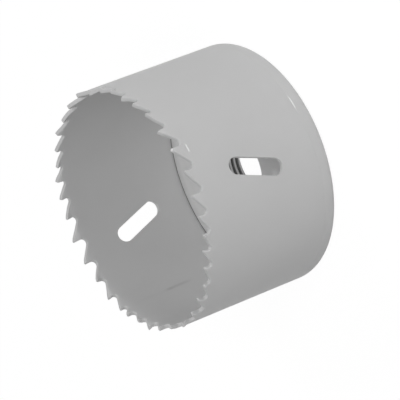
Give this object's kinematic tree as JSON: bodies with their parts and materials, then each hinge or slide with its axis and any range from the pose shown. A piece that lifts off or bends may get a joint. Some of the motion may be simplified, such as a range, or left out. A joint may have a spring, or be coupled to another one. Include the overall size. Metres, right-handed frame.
{
  "type": "hole saw",
  "caption": "Cup-shaped hole saw: a thin toothed steel wall on a thick round back plate, with a threaded arbor hole, drive-pin holes and slanted slots for pushing the slug out.",
  "frame": {"origin": "centre of the back plate's outer face, where the arbor's shoulder seats", "axes": "+Z along the cup's axis from the back plate to the tooth tips, +X through the middle of the first slanted slot"},
  "size_m": [0.0636, 0.0634, 0.0413],
  "materials": {
    "wall_enamel": "smooth light grey enamel with a soft sheen",
    "plate_enamel": "smooth light grey enamel with a soft sheen"
  },
  "bodies": {
    "root": {"saw_shell": "wall_enamel", "back_plate": "plate_enamel"}
  },
  "joints": []
}
